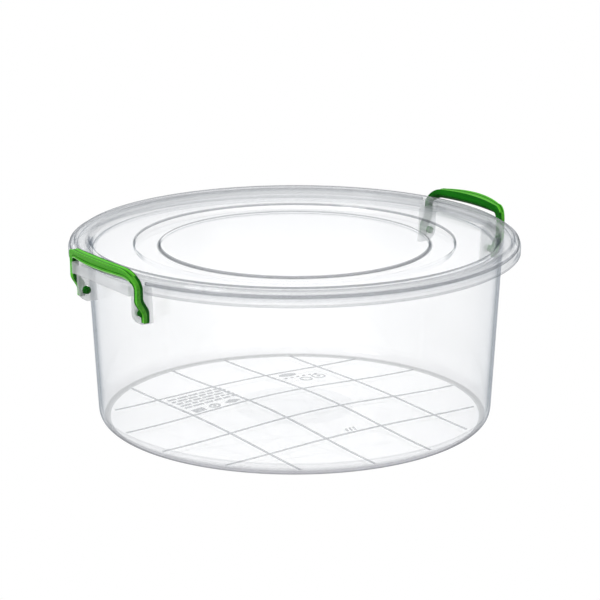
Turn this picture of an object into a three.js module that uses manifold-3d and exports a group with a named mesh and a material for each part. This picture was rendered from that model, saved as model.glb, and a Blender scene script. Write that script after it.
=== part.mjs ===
// Round food container: a clear tub, a clear lid and two U-shaped snap latches that pivot on the tub.
// Millimetres, +Z up. The origin is the centre of the tub's resting face.
// The latches sit on -X and +X. The housing and the latch are modelled on +X and mirrored, so
// their X is the distance from the tub's axis, Y = 0 is their centre plane and their front is +X.
import * as THREE from "three";
import { mergeVertices } from "three/addons/utils/BufferGeometryUtils.js";
import Module from "manifold-3d";

// ---- driving dimensions -------------------------------------------------
// Names ending in _R are radii, and those ending in _HALF are measured from Y = 0.
const REVOLVE_SEGMENTS = 72;
const ROD_SEGMENTS = 20;

// tub
const WALL_R0 = 135.7; // outer wall radius at the resting face, before the corner is rounded
const WALL_DRAFT = 0.05; // radius gained per mm of height
const WALL_T = 1.7;
const WALL_START_Z = 9.5; // top of the rounded bottom corner
const FLOOR_T = 1.4;
const FLOOR_EDGE_Z = 1.6; // floor's top surface at its edge
const FLOOR_EDGE_R = 126.5;
const FLOOR_DOME = 4.9; // rise of the floor's middle above its edge
const FLOOR_STATIONS = [0, 32, 64, 92, 112]; // radii at which the dome is sampled
const FOOT_IN_R = 119.0;
const FOOT_OUT_R = 128.1;
const FLANGE_R = 154.0;
const FLANGE_ROOT_R = 143.2; // where the wall's flare meets the flange
const FLANGE_TOP = 123.0;
const FLANGE_T = 2.4;
const FLANGE_UNDER = FLANGE_TOP - FLANGE_T;
const FLANGE_LIP_BOTTOM = 117.6;
const FLANGE_LIP_T = 1.9;
const FLANGE_LIP_IN_R = FLANGE_R - FLANGE_LIP_T;
const MOUTH_BEVEL = 1.1;

// latch housings on the tub
const HOUSING_HALF = 36.0; // outer face of an ear
const EAR_T = 2.8;
const EAR_FRONT = 150.5;
const EAR_BOTTOM = 95.0;
const SKIRT_FRONT = 154.1; // front face of the straight skirt between the ears
const SKIRT_T = 1.9;
const SKIRT_BOTTOM = 115.4;
const SKIRT_BEVEL = 0.3;
const HOUSING_TOP_BACK = 146; // back edge of the housing's top plate

// latches
const ARM_IN_HALF = HOUSING_HALF + 2.2; // inner side of an arm
const ARM_OUT_HALF = ARM_IN_HALF + 4.2;
const UPPER_ARM_BACK = 146.9;
const UPPER_ARM_FRONT = 152.1;
const LOWER_ARM_BACK = 142.5;
const LOWER_ARM_FRONT = 147.1;
const JOG_BOTTOM = 104.2; // the jog joins the lower arm to the upper arm
const JOG_TOP = 113.4;
const ARM_BOTTOM = 97.5;
const ARM_TOP = 129.6;
const PIN_R = 2.8;
const PIN_END_HALF = 31.4; // inner end of a pin
const PIN_EMBED = 1; // length of a pin inside its arm
const PIVOT_X = 144.8;
const PIVOT_Z = 102.9;
const PIVOT_HOLE_R = PIN_R + 0.32;
const BAR_HALF = 41.0; // where the bar's bulge and rise begin
const BAR_STEPS = 14;
// Corners of the bar's section: [x at the ends, gain to the middle, z at the ends, gain to the middle]
const BAR_CORNERS = [
  [147.9, 3.2, 126.5, 0.7], // hook nose, under the bar
  [148.9, 4.8, 132.0, 2.2], // back top edge
  [152.7, 9.3, 131.5, 3.5], // front top edge
  [151.6, 7.8, 127.3, 2.6], // crease on the front
  [151.2, 7.2, 126.2, 0.8], // front bottom edge
];

// latch's front silhouette
const TRIM = {
  cornerRadius: 8.5,
  cornerSweep: Math.PI * 0.42,
  cornerSegments: 6,
  shoulderZ: 132.8, // top of the corner circles
  topZ: 135.8,
  topHalf: 20, // half-width of the nearly flat top
  topDrop: 0.6, // fall of the top over that half-width
  bottomZ: 92,
  back: 138,
  depth: 30,
};

// lid
const LID_BRIM_R = 153.1;
const LID_BRIM_BOTTOM = FLANGE_TOP + 0.3;
const LID_CREST_TOP = 128.0;
const LID_PANEL_TOP = 123.3;
const LID_CENTRE_TOP = 122.3; // raised centre, inside the ring groove
const LID_GROOVE_TOP = 120.9;
const LID_GROOVE_IN_R = 92.0;
const LID_GROOVE_OUT_R = 109.8;
const LID_T = 1.6;
const PLUG_R = 139.6; // ring that drops inside the tub's mouth
const PLUG_T = 1.6;
const PLUG_BOTTOM = 118.0;

// gaps beside the housings, cut in the tub's flange and in the lid's brim
const NOTCH_OUT_HALF = ARM_OUT_HALF + 1.5;
const NOTCH_FRONT = 160; // beyond every rim
const FLANGE_NOTCH = {
  back: 143.3,
  bottom: SKIRT_BOTTOM - 2,
  top: FLANGE_TOP + 2,
  innerHalf: HOUSING_HALF,
};
const LID_NOTCH = {
  back: 145.3,
  bottom: LID_BRIM_BOTTOM - 1,
  top: LID_BRIM_BOTTOM + 2.7,
  innerHalf: HOUSING_HALF + 0.9,
};

// ---- helpers ------------------------------------------------------------
const wasm = await Module();
wasm.setup();
const { Manifold, Mesh } = wasm;

// Welds a three.js geometry by position alone and makes it a solid.
function solidOf(geometry) {
  const bare = geometry.clone();
  bare.deleteAttribute("normal");
  bare.deleteAttribute("uv");
  const merged = mergeVertices(bare, 1e-4);
  return new Manifold(
    new Mesh({
      numProp: 3,
      vertProperties: new Float32Array(merged.attributes.position.array),
      triVerts: new Uint32Array(merged.index.array),
    }),
  );
}

function geometryOf(solid) {
  const mesh = solid.getMesh();
  const geometry = new THREE.BufferGeometry();
  geometry.setAttribute("position", new THREE.Float32BufferAttribute(mesh.vertProperties, 3));
  geometry.setIndex(new THREE.Uint32BufferAttribute(mesh.triVerts, 1));
  geometry.computeVertexNormals();
  return geometry;
}

// A counter-clockwise [radius, z] profile that starts and ends on the axis, turned about +Z.
function revolve(profile) {
  const points = profile.map(([radius, z]) => new THREE.Vector2(radius, z));
  const geometry = new THREE.LatheGeometry(points, REVOLVE_SEGMENTS);
  geometry.rotateX(Math.PI / 2);
  return solidOf(geometry);
}

// A box given by its lowest and highest corners.
function block(low, high) {
  const size = high.map((value, axis) => value - low[axis]);
  const centre = high.map((value, axis) => (low[axis] + value) / 2);
  return solidOf(new THREE.BoxGeometry(...size).translate(...centre));
}

// An outline in the X-Z plane, extruded along Y from y0 to y1.
function plateXZ(outline, [y0, y1]) {
  const shape = new THREE.Shape(outline.map(([x, z]) => new THREE.Vector2(x, z)));
  const geometry = new THREE.ExtrudeGeometry(shape, { depth: y1 - y0, bevelEnabled: false });
  geometry.rotateX(Math.PI / 2); // shape y becomes z, the extrusion runs along -Y
  geometry.translate(0, y1, 0);
  return solidOf(geometry);
}

// A rod on the pivot axis.
function pivotRod(radius, [y0, y1]) {
  const geometry = new THREE.CylinderGeometry(radius, radius, y1 - y0, ROD_SEGMENTS);
  geometry.translate(PIVOT_X, (y0 + y1) / 2, PIVOT_Z);
  return solidOf(geometry);
}

// A span of Y on the +Y side, and its mirror image on the -Y side.
const bothSides = (near, far) => [[near, far], [-far, -near]];

const mirrorX = (solid) => solid.mirror([1, 0, 0]);

// Cuts the two gaps beside each housing, on +X and on -X.
function cutNotches(solid, { back, bottom, top, innerHalf }) {
  const gaps = Manifold.union(
    bothSides(innerHalf, NOTCH_OUT_HALF).map(([y0, y1]) =>
      block([back, y0, bottom], [NOTCH_FRONT, y1, top]),
    ),
  );
  return solid.subtract(gaps).subtract(mirrorX(gaps));
}

// ---- tub ----------------------------------------------------------------
const wallOut = (z) => WALL_R0 + WALL_DRAFT * z;
const wallIn = (z) => wallOut(z) - WALL_T;
const floorTop = (radius) =>
  FLOOR_EDGE_Z + FLOOR_DOME * 0.5 * (1 + Math.cos((Math.PI * radius) / FLOOR_EDGE_R));

function tubProfile() {
  const flareStart = FLANGE_UNDER - 1.2;
  const bevelBottom = FLANGE_TOP - MOUTH_BEVEL;
  const floor = FLOOR_STATIONS.map((radius) => [radius, floorTop(radius)]);
  return [
    // underside of the floor, from the axis to the foot
    ...floor.map(([radius, z]) => [radius, z - FLOOR_T]),
    [FOOT_IN_R, 0],
    [FOOT_OUT_R, 0],
    // rounded bottom corner and the drafted wall
    [131.6, 0.8], [134.3, 2.9], [135.7, 5.8],
    [wallOut(WALL_START_Z), WALL_START_Z],
    [wallOut(flareStart), flareStart],
    // flange with its turned-down lip
    [FLANGE_ROOT_R, FLANGE_UNDER],
    [FLANGE_LIP_IN_R - 0.4, FLANGE_UNDER],
    [FLANGE_LIP_IN_R, FLANGE_UNDER - 0.5],
    [FLANGE_LIP_IN_R, FLANGE_LIP_BOTTOM],
    [FLANGE_R - 0.2, FLANGE_LIP_BOTTOM],
    [FLANGE_R, FLANGE_TOP - 0.5],
    [FLANGE_R - 0.5, FLANGE_TOP],
    // mouth and the inner wall
    [wallIn(FLANGE_TOP) + MOUTH_BEVEL, FLANGE_TOP],
    [wallIn(bevelBottom), bevelBottom],
    [wallIn(WALL_START_Z), WALL_START_Z],
    [133.8, 6.2], [132.2, 3.6], [129.8, 2.1],
    [FLOOR_EDGE_R, FLOOR_EDGE_Z],
    // top of the floor, back to the axis
    ...floor.reverse(),
  ];
}

// Two ears with pivot holes, joined by a straight skirt and a top plate.
function housing() {
  const earOutline = [
    [135.5, EAR_BOTTOM],
    [142.6, EAR_BOTTOM],
    [145.6, EAR_BOTTOM + 0.8],
    [148.2, EAR_BOTTOM + 2.8],
    [149.9, EAR_BOTTOM + 5.4],
    [EAR_FRONT, EAR_BOTTOM + 8.4],
    [EAR_FRONT, SKIRT_BOTTOM],
    [SKIRT_FRONT, SKIRT_BOTTOM],
    [SKIRT_FRONT, FLANGE_TOP - SKIRT_BEVEL],
    [SKIRT_FRONT - SKIRT_BEVEL, FLANGE_TOP],
    [141.2, FLANGE_TOP],
    [136.7, FLANGE_UNDER],
  ];
  const ears = bothSides(HOUSING_HALF - EAR_T, HOUSING_HALF).map((span) =>
    plateXZ(earOutline, span),
  );
  const skirt = block(
    [SKIRT_FRONT - SKIRT_T, -HOUSING_HALF, SKIRT_BOTTOM],
    [SKIRT_FRONT, HOUSING_HALF, FLANGE_TOP - SKIRT_BEVEL],
  );
  const topPlate = block(
    [HOUSING_TOP_BACK, -HOUSING_HALF, FLANGE_UNDER],
    [SKIRT_FRONT - SKIRT_BEVEL, HOUSING_HALF, FLANGE_TOP],
  );
  const pivotHole = pivotRod(PIVOT_HOLE_R, [-HOUSING_HALF - 1, HOUSING_HALF + 1]);
  return Manifold.union([...ears, skirt, topPlate]).subtract(pivotHole);
}

function tub() {
  const rightHousing = housing();
  return cutNotches(revolve(tubProfile()), FLANGE_NOTCH)
    .add(rightHousing)
    .add(mirrorX(rightHousing));
}

// ---- lid ----------------------------------------------------------------
function lidProfile() {
  const centreUnder = LID_CENTRE_TOP - LID_T;
  const grooveUnder = LID_GROOVE_TOP - LID_T;
  const panelUnder = LID_PANEL_TOP - LID_T;
  const plugInR = PLUG_R - PLUG_T;
  return [
    // underside of the centre, groove and panel, from the axis outwards
    [0, centreUnder],
    [LID_GROOVE_IN_R - 0.4, centreUnder],
    [LID_GROOVE_IN_R + 0.8, grooveUnder],
    [LID_GROOVE_OUT_R - 0.8, grooveUnder],
    [LID_GROOVE_OUT_R + 0.4, panelUnder],
    [134.6, panelUnder],
    // plug ring
    [plugInR, panelUnder - 0.9],
    [plugInR, PLUG_BOTTOM],
    [PLUG_R - 0.4, PLUG_BOTTOM],
    [PLUG_R, PLUG_BOTTOM + 0.6],
    [PLUG_R, LID_BRIM_BOTTOM - 0.5],
    // hollow under the crest
    [140.7, LID_BRIM_BOTTOM + 1.7],
    [142.6, LID_CREST_TOP - 1.9],
    [147.0, LID_CREST_TOP - 1.7],
    [147.9, LID_BRIM_BOTTOM + 0.7],
    // brim
    [148.5, LID_BRIM_BOTTOM],
    [LID_BRIM_R, LID_BRIM_BOTTOM],
    [LID_BRIM_R, LID_BRIM_BOTTOM + 1.8],
    [152.6, LID_BRIM_BOTTOM + 2.2],
    [150.6, LID_BRIM_BOTTOM + 2.5],
    [149.7, LID_BRIM_BOTTOM + 3.2],
    // crest, down to the panel
    [148.9, LID_CREST_TOP - 0.7],
    [147.6, LID_CREST_TOP],
    [141.6, LID_CREST_TOP],
    [140.3, LID_CREST_TOP - 0.8],
    [137.0, LID_PANEL_TOP + 0.9],
    [135.6, LID_PANEL_TOP],
    // the shallow ring groove and the raised centre inside it
    [LID_GROOVE_OUT_R, LID_PANEL_TOP],
    [LID_GROOVE_OUT_R - 1.1, LID_GROOVE_TOP],
    [LID_GROOVE_IN_R + 1.1, LID_GROOVE_TOP],
    [LID_GROOVE_IN_R, LID_CENTRE_TOP],
    [0, LID_CENTRE_TOP],
  ];
}

const lid = () => cutNotches(revolve(lidProfile()), LID_NOTCH);

// ---- latches ------------------------------------------------------------
// The bar is lofted through sections along Y: its front bulges and its top rises in the middle.
function bar() {
  const positions = [];
  for (let i = 0; i <= BAR_STEPS; i++) {
    const y = -ARM_OUT_HALF + (2 * ARM_OUT_HALF * i) / BAR_STEPS;
    const bulge = Math.max(0, 1 - (y / BAR_HALF) ** 2);
    for (const [x, xGain, z, zGain] of BAR_CORNERS)
      positions.push(x + xGain * bulge, y, z + zGain * bulge);
  }

  const count = BAR_CORNERS.length;
  const index = [];
  for (let i = 0; i < BAR_STEPS; i++)
    for (let j = 0; j < count; j++) {
      const here = i * count + j;
      const next = i * count + ((j + 1) % count);
      index.push(here, next, here + count);
      index.push(next, next + count, here + count);
    }
  // end caps, as fans from the first corner
  const last = BAR_STEPS * count;
  for (let j = 1; j < count - 1; j++) {
    index.push(0, j + 1, j);
    index.push(last, last + j, last + j + 1);
  }

  const geometry = new THREE.BufferGeometry();
  geometry.setAttribute("position", new THREE.Float32BufferAttribute(positions, 3));
  geometry.setIndex(index);
  return solidOf(geometry);
}

// The latch's outline seen along X, with rounded top corners; it trims the arms and the bar.
function latchFront() {
  const { cornerRadius, cornerSweep, bottomZ, topZ, topHalf } = TRIM;
  const cornerY = ARM_OUT_HALF - cornerRadius;
  const cornerZ = TRIM.shoulderZ - cornerRadius;
  const topEndZ = topZ - TRIM.topDrop;
  const shape = new THREE.Shape();
  shape.moveTo(-ARM_OUT_HALF, bottomZ);
  shape.lineTo(ARM_OUT_HALF, bottomZ);
  shape.lineTo(ARM_OUT_HALF, cornerZ);
  shape.absarc(cornerY, cornerZ, cornerRadius, 0, cornerSweep, false);
  shape.lineTo(topHalf, topEndZ);
  shape.lineTo(0, topZ);
  shape.lineTo(-topHalf, topEndZ);
  shape.absarc(-cornerY, cornerZ, cornerRadius, Math.PI - cornerSweep, Math.PI, false);
  shape.lineTo(-ARM_OUT_HALF, bottomZ);
  const geometry = new THREE.ExtrudeGeometry(shape, {
    depth: TRIM.depth,
    bevelEnabled: false,
    curveSegments: TRIM.cornerSegments,
  });
  // shape x -> Y, shape y -> Z, extrusion -> X
  geometry.applyMatrix4(
    new THREE.Matrix4().set(0, 0, 1, TRIM.back, 1, 0, 0, 0, 0, 1, 0, 0, 0, 0, 0, 1),
  );
  return solidOf(geometry);
}

function latch() {
  const armOutline = [
    [LOWER_ARM_BACK + 1.2, ARM_BOTTOM],
    [LOWER_ARM_FRONT - 1.4, ARM_BOTTOM],
    [LOWER_ARM_FRONT - 0.3, ARM_BOTTOM + 1.0],
    [LOWER_ARM_FRONT, ARM_BOTTOM + 2.6],
    [LOWER_ARM_FRONT, JOG_BOTTOM - 1.0],
    [UPPER_ARM_FRONT, JOG_TOP - 1.4],
    [UPPER_ARM_FRONT, ARM_TOP],
    [UPPER_ARM_BACK + 1.2, ARM_TOP],
    [UPPER_ARM_BACK, ARM_TOP - 2.2],
    [UPPER_ARM_BACK, JOG_TOP + 0.8],
    [LOWER_ARM_BACK, JOG_BOTTOM + 1.2],
    [LOWER_ARM_BACK, ARM_BOTTOM + 1.2],
  ];
  const pinSpans = bothSides(PIN_END_HALF, ARM_IN_HALF + PIN_EMBED);
  const armsAndPins = bothSides(ARM_IN_HALF, ARM_OUT_HALF).flatMap((armSpan, i) => [
    plateXZ(armOutline, armSpan),
    pivotRod(PIN_R, pinSpans[i]),
  ]);
  return Manifold.union([bar(), ...armsAndPins]).intersect(latchFront());
}

// ---- materials ----------------------------------------------------------
const clearPlastic = (color) =>
  new THREE.MeshStandardMaterial({
    color,
    roughness: 0.08,
    metalness: 0,
    transparent: true,
    opacity: 0.3,
  });

const greenPlastic = () =>
  new THREE.MeshStandardMaterial({ color: 0x2f9e22, roughness: 0.28, metalness: 0 });

// ---- scene graph --------------------------------------------------------
function node(name, solid, material) {
  const mesh = new THREE.Mesh(geometryOf(solid), material);
  mesh.name = name;
  return mesh;
}

const container = new THREE.Group();
container.name = "snap_lid_food_container";
const rightLatch = latch();
container.add(
  node("tub", tub(), clearPlastic(0xf4f7f9)),
  node("lid", lid(), clearPlastic(0xf7f9fa)),
  node("right_latch", rightLatch, greenPlastic()),
  node("left_latch", mirrorX(rightLatch), greenPlastic()),
);

export default container;
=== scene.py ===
# Round clear food container with a clear lid and two green snap latches.
# It stands on z = 0 with its axis on Z. The latches sit on the +X and -X sides, 76 mm wide along Y.
# Each piece is a finer mesh of one node of the CAD model and rides on that node's body.
import math

import bpy
import bmesh
import numpy as np
from mathutils import Matrix, Vector


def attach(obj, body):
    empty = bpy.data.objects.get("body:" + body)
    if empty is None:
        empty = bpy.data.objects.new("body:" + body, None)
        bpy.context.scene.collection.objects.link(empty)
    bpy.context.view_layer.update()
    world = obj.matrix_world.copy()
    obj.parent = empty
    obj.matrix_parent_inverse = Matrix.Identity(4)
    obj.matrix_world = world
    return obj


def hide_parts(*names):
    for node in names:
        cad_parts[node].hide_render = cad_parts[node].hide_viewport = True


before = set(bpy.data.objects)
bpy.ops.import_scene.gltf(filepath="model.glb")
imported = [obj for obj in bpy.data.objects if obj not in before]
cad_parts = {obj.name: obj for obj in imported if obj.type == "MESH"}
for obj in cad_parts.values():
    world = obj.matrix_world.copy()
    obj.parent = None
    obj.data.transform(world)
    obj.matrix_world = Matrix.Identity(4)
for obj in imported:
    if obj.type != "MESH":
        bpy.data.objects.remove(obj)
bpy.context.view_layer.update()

MM = 0.001                                  # lengths are in mm until a mesh is made

# ---------------------------------------------------------------- dimensions, mm
# Names: _R radius from the axis, _T thickness, _HALF half width along Y, _TOP and _BOTTOM heights.
TURN_STEPS = 288                            # steps round the tub and the lid

# tub
WALL_R0, WALL_DRAFT, WALL_T = 135.7, 0.05, 1.7          # outer radius at z = 0, growth per mm
FLOOR_EDGE_Z, FLOOR_EDGE_R, FLOOR_DOME, FLOOR_T = 1.6, 126.5, 4.9, 1.4
FOOT_R_IN, FOOT_R_OUT = 119.0, 128.1
FLANGE_R, FLANGE_TOP, FLANGE_T = 154.0, 123.0, 2.4
FLANGE_UNDER = FLANGE_TOP - FLANGE_T
LIP_BOTTOM, LIP_T = 117.6, 1.9              # the flange's turned-down edge
NOTCH_HALF = 43.9                           # outer end of the gaps in flange and brim
FLANGE_NOTCH = 143.3                        # how near the axis the flange's gaps reach, along X

# fixed half of a latch hinge
HOUSING_HALF, EAR_T, EAR_OUT, EAR_BOTTOM = 36.0, 2.8, 150.5, 95.0
SKIRT_OUT, SKIRT_T, SKIRT_BOTTOM = 154.1, 1.9, 115.4
PIVOT_R, PIVOT_Z, PIVOT_HOLE, PIN_R = 144.8, 102.9, 3.12, 2.55

# grid and marks on the tub's floor
GRID_PITCH, GRID_LINES = 46.1, 4
GRID_REACH = 124.9                          # ribs end at this distance from the axis
RIB_HALF, RIB_HEIGHT = 0.95, 0.5
MARK_HEIGHT = 0.28
SUNK = -0.4                                 # ribs and marks start this far below the floor's top

# lid
LID_TOP, LID_T = 123.3, 1.6
GROOVE_R_IN, GROOVE_R_OUT, GROOVE_TOP, CENTRE_TOP = 92.0, 109.8, 120.4, 121.8
BRIM_R, BRIM_BOTTOM, CREST_TOP = 153.1, 123.3, 128.0
PLUG_R, PLUG_T, PLUG_BOTTOM = 139.6, 1.6, 118.0
LID_NOTCH = 145.3

# latch: two arms that run up from the pivot, and a bar across their tops
ARM_IN, ARM_OUT, ARM_BOTTOM = 38.2, 42.4, 97.5          # ARM_IN and ARM_OUT are along Y
ARM_STRAIGHT_TOP = 119.8                    # above this the arm turns into the bar
BAR_STRAIGHT_HALF = 29.6                    # beyond this the bar turns into the arm
BAR_HALF = 41.0
PIN_END = 31.6                              # the pin's free end, along Y
CAP_DROP = 0.9                              # height of an arm's rounded end

# material slots
# tub slots: the frosted one is also painted grey, as painted shade
CLEAR, FROSTED_SHADED, MILKY, INSIDE = range(4)
# latch slots: plain green; deep is painted shade, pale is painted light on the lip, bright is
# painted highlight
GREEN, PAINTED_SHADE, PAINTED_PALE_LIGHT, PAINTED_HIGHLIGHT = range(4)


def wall_out(z):
    return WALL_R0 + WALL_DRAFT * z


def wall_in(z):
    return wall_out(z) - WALL_T


def floor_top(r):
    r = min(r, FLOOR_EDGE_R)
    return FLOOR_EDGE_Z + FLOOR_DOME * 0.5 * (1 + math.cos(math.pi * r / FLOOR_EDGE_R))


def floor_under(r):
    return floor_top(r) - FLOOR_T


def smoothstep(t):
    t = max(0.0, min(1.0, t))
    return t * t * (3 - 2 * t)


# ---------------------------------------------------------------- outlines
def fillet(points, radii, steps=4, closed=False):
    """The outline with its corners rounded: radii has one radius per point, 0 for a sharp one."""
    rounded = []
    count = len(points)
    corners = [np.array(point, float) for point in points]
    for i, corner in enumerate(corners):
        radius = radii[i]
        if radius <= 0 or (not closed and i in (0, count - 1)):
            rounded.append(corner)
            continue
        back, ahead = corners[i - 1] - corner, corners[(i + 1) % count] - corner
        back_length, ahead_length = np.linalg.norm(back), np.linalg.norm(ahead)
        back, ahead = back / back_length, ahead / ahead_length
        angle = math.acos(max(-1, min(1, float(back @ ahead))))
        if angle > math.pi - 0.02:
            rounded.append(corner)
            continue
        cut = min(radius / math.tan(angle / 2), back_length * 0.49, ahead_length * 0.49)
        start, end = corner + back * cut, corner + ahead * cut
        weight = math.sin(angle / 2)
        for k in range(steps + 1):
            # rational quadratic, so that the corner is a true arc
            u = k / steps
            total = (1 - u) ** 2 + 2 * u * (1 - u) * weight + u * u
            rounded.append(((1 - u) ** 2 * start + 2 * u * (1 - u) * weight * corner
                            + u * u * end) / total)
    return [tuple(point) for point in rounded]


def smooth_curve(points, steps):
    """A Catmull-Rom curve through the points, with that many steps between neighbours."""
    p = [np.array(point, float) for point in points]
    p = [2 * p[0] - p[1]] + p + [2 * p[-1] - p[-2]]
    curve = []
    for i in range(1, len(p) - 2):
        for k in range(steps):
            t = k / steps
            curve.append(tuple(0.5 * (
                (2 * p[i]) + (p[i + 1] - p[i - 1]) * t
                + (2 * p[i - 1] - 5 * p[i] + 4 * p[i + 1] - p[i + 2]) * t * t
                + (3 * p[i] - p[i - 1] - 3 * p[i + 1] + p[i + 2]) * t ** 3)))
    curve.append(tuple(p[-2]))
    return curve


def split_long_runs(profile, longest=9.0):
    """Adds points on long straight runs, so that a turned surface has even faces."""
    split = [profile[0]]
    for end in profile[1:]:
        start = split[-1]
        extra = int(math.hypot(end[0] - start[0], end[1] - start[1]) // longest)
        for i in range(1, extra + 1):
            t = i / (extra + 1)
            split.append((start[0] + (end[0] - start[0]) * t, start[1] + (end[1] - start[1]) * t))
        split.append(end)
    return split


def rectangle(x0, y0, x1, y1):
    return [(x0, y0), (x1, y0), (x1, y1), (x0, y1)]


def oval(x, y, radius, sides, wide=1.0, deep=1.0):
    """A polygon round x, y, stretched by wide along X and by deep along Y."""
    angles = [2 * math.pi * i / sides for i in range(sides)]
    return [(x + wide * radius * math.cos(a), y + deep * radius * math.sin(a)) for a in angles]


# ---------------------------------------------------------------- meshes
def mesh_object(name, verts, faces):
    """An object from points in mm, with its faces turned outwards."""
    mesh = bpy.data.meshes.new(name)
    mesh.from_pydata([tuple(c * MM for c in vert) for vert in verts], [], faces)
    mesh.validate()
    bm = bmesh.new()
    bm.from_mesh(mesh)
    bmesh.ops.recalc_face_normals(bm, faces=bm.faces)
    if bm.calc_volume(signed=True) < 0:
        bmesh.ops.reverse_faces(bm, faces=bm.faces)
    bm.to_mesh(mesh)
    bm.free()
    made = bpy.data.objects.new(name, mesh)
    bpy.context.scene.collection.objects.link(made)
    return made


def side_faces(rings, size, closed=False):
    """Quads between neighbouring rings of size points; closed joins the last ring to the first."""
    faces = []
    for i in range(rings if closed else rings - 1):
        this, following = i * size, (i + 1) % rings * size
        for j in range(size):
            k = (j + 1) % size
            faces.append((this + j, this + k, following + k, following + j))
    return faces


def cap_faces(rings, size):
    """One face over the first ring and one over the last."""
    return [tuple(range(size))[::-1], tuple(range((rings - 1) * size, rings * size))]


def turned(name, profile, steps, first_step, point):
    """A turned solid. The profile is (radius, along) and starts and ends on the axis.

    point(radius, angle, along) gives the place of a vertex.
    """
    verts, rings = [], []
    for radius, along in profile:
        start = len(verts)
        if radius < 1e-6:
            verts.append(point(0, 0, along))
            rings.append([start])
        else:
            verts += [point(radius, 2 * math.pi * (k + first_step) / steps, along)
                      for k in range(steps)]
            rings.append(list(range(start, start + steps)))
    faces = []
    for a, b in zip(rings, rings[1:]):
        for k in range(steps):
            m = (k + 1) % steps
            if len(a) == 1:
                faces.append((a[0], b[k], b[m]))
            elif len(b) == 1:
                faces.append((a[k], b[0], a[m]))
            else:
                faces.append((a[k], b[k], b[m], a[m]))
    return mesh_object(name, verts, faces)


def turned_z(name, profile):
    """A solid turned about Z: the profile is (radius, z)."""
    return turned(name, profile, TURN_STEPS, 0.5,
                  lambda r, angle, z: (r * math.cos(angle), r * math.sin(angle), z))


def turned_pivot(name, profile, steps):
    """A solid turned about the +X latch's pivot line, along Y: the profile is (radius, y)."""
    return turned(name, profile, steps, 0, lambda r, angle, y: (
        PIVOT_R + r * math.cos(angle), y, PIVOT_Z + r * math.sin(angle)))


def plate(name, outline, low, high, along):
    """A flat plate along "y", with its outline in X and Z, or along "z", with it in X and Y."""
    if along == "y":
        verts = [(a, level, b) for level in (low, high) for a, b in outline]
    else:
        verts = [(a, b, level) for level in (low, high) for a, b in outline]
    size = len(outline)
    return mesh_object(name, verts, cap_faces(2, size) + side_faces(2, size))


def mirrored(source, name):
    """A copy on the other side of X = 0."""
    made = source.copy()
    made.data = source.data.copy()
    made.name = name
    made.data.name = name
    bpy.context.scene.collection.objects.link(made)
    made.data.transform(Matrix.Scale(-1, 4, Vector((1, 0, 0))))
    made.data.flip_normals()
    return made


def evaluated_mesh(target):
    bpy.context.view_layer.update()
    depsgraph = bpy.context.evaluated_depsgraph_get()
    return bpy.data.meshes.new_from_object(target.evaluated_get(depsgraph))


def take_mesh(target, made):
    """Gives the target the made mesh in place of its own mesh and modifiers."""
    old = target.data
    target.modifiers.clear()
    target.data = made
    made.name = target.name
    bpy.data.meshes.remove(old)


def boolean(target, others, operation):
    """Joins or cuts target by the others, which are used up."""
    for other in others:
        modifier = target.modifiers.new("b", "BOOLEAN")
        modifier.operation = operation
        modifier.solver = "MANIFOLD"
        modifier.object = other
    made = evaluated_mesh(target)
    if len(made.polygons) < len(target.data.polygons) * 0.5:
        # guards against the fast solver losing most of the mesh
        for modifier in target.modifiers:
            modifier.solver = "EXACT"
        made = evaluated_mesh(target)
    take_mesh(target, made)
    for other in others:
        mesh = other.data
        bpy.data.objects.remove(other)
        bpy.data.meshes.remove(mesh)


def bevel(target, width, segments, angle):
    modifier = target.modifiers.new("bevel", "BEVEL")
    modifier.width = width * MM
    modifier.segments = segments
    modifier.limit_method = "ANGLE"
    modifier.angle_limit = math.radians(angle)
    modifier.use_clamp_overlap = True
    modifier.miter_outer = "MITER_ARC"
    take_mesh(target, evaluated_mesh(target))


def tidy(target, sharp_from=32.0, merge=0.004):
    """Merges points closer than merge mm, and shades smooth below sharp_from degrees."""
    mesh = target.data
    bm = bmesh.new()
    bm.from_mesh(mesh)
    bmesh.ops.remove_doubles(bm, verts=bm.verts, dist=merge * MM)
    bmesh.ops.dissolve_degenerate(bm, edges=bm.edges, dist=merge * MM * 0.5)
    bm.normal_update()
    bm.to_mesh(mesh)
    bm.free()
    for polygon in mesh.polygons:
        polygon.use_smooth = True
    mesh.set_sharp_from_angle(angle=math.radians(sharp_from))


def paint(target, materials, slots):
    """Fills the material slots; slots is one slot for all faces, or a list with one per face."""
    mesh = target.data
    mesh.materials.clear()
    for material in materials:
        mesh.materials.append(material)
    if isinstance(slots, int):
        slots = [slots] * len(mesh.polygons)
    mesh.polygons.foreach_set("material_index", slots)


def add_weighted_normals(target):
    modifier = target.modifiers.new("weighted_normals", "WEIGHTED_NORMAL")
    modifier.mode = "FACE_AREA_WITH_ANGLE"
    modifier.keep_sharp = True
    modifier.weight = 60


# ---------------------------------------------------------------- shader node helpers
def node(tree, kind, inputs=(), **settings):
    """A shader node with its settings; each input is given a value or linked to a socket."""
    made = tree.nodes.new("ShaderNode" + kind)
    for key, value in settings.items():
        setattr(made, key, value)
    for key, value in dict(inputs).items():
        if isinstance(value, bpy.types.NodeSocket):
            tree.links.new(value, made.inputs[key])
        else:
            made.inputs[key].default_value = value
    return made


def shader(tree, kind, inputs=()):
    return node(tree, kind, inputs).outputs[0]


def mix_shaders(tree, share, first, second):
    """The first shader where share is 0, the second where it is 1."""
    return shader(tree, "MixShader", {"Fac": share, 1: first, 2: second})


def maths(tree, operation, first, second, clamp=False):
    made = node(tree, "Math", {0: first, 1: second}, operation=operation, use_clamp=clamp)
    return made.outputs[0]


def vector_maths(tree, operation, first, second, output="Vector"):
    made = node(tree, "VectorMath", {0: first, 1: second}, operation=operation)
    return made.outputs[output]


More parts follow.
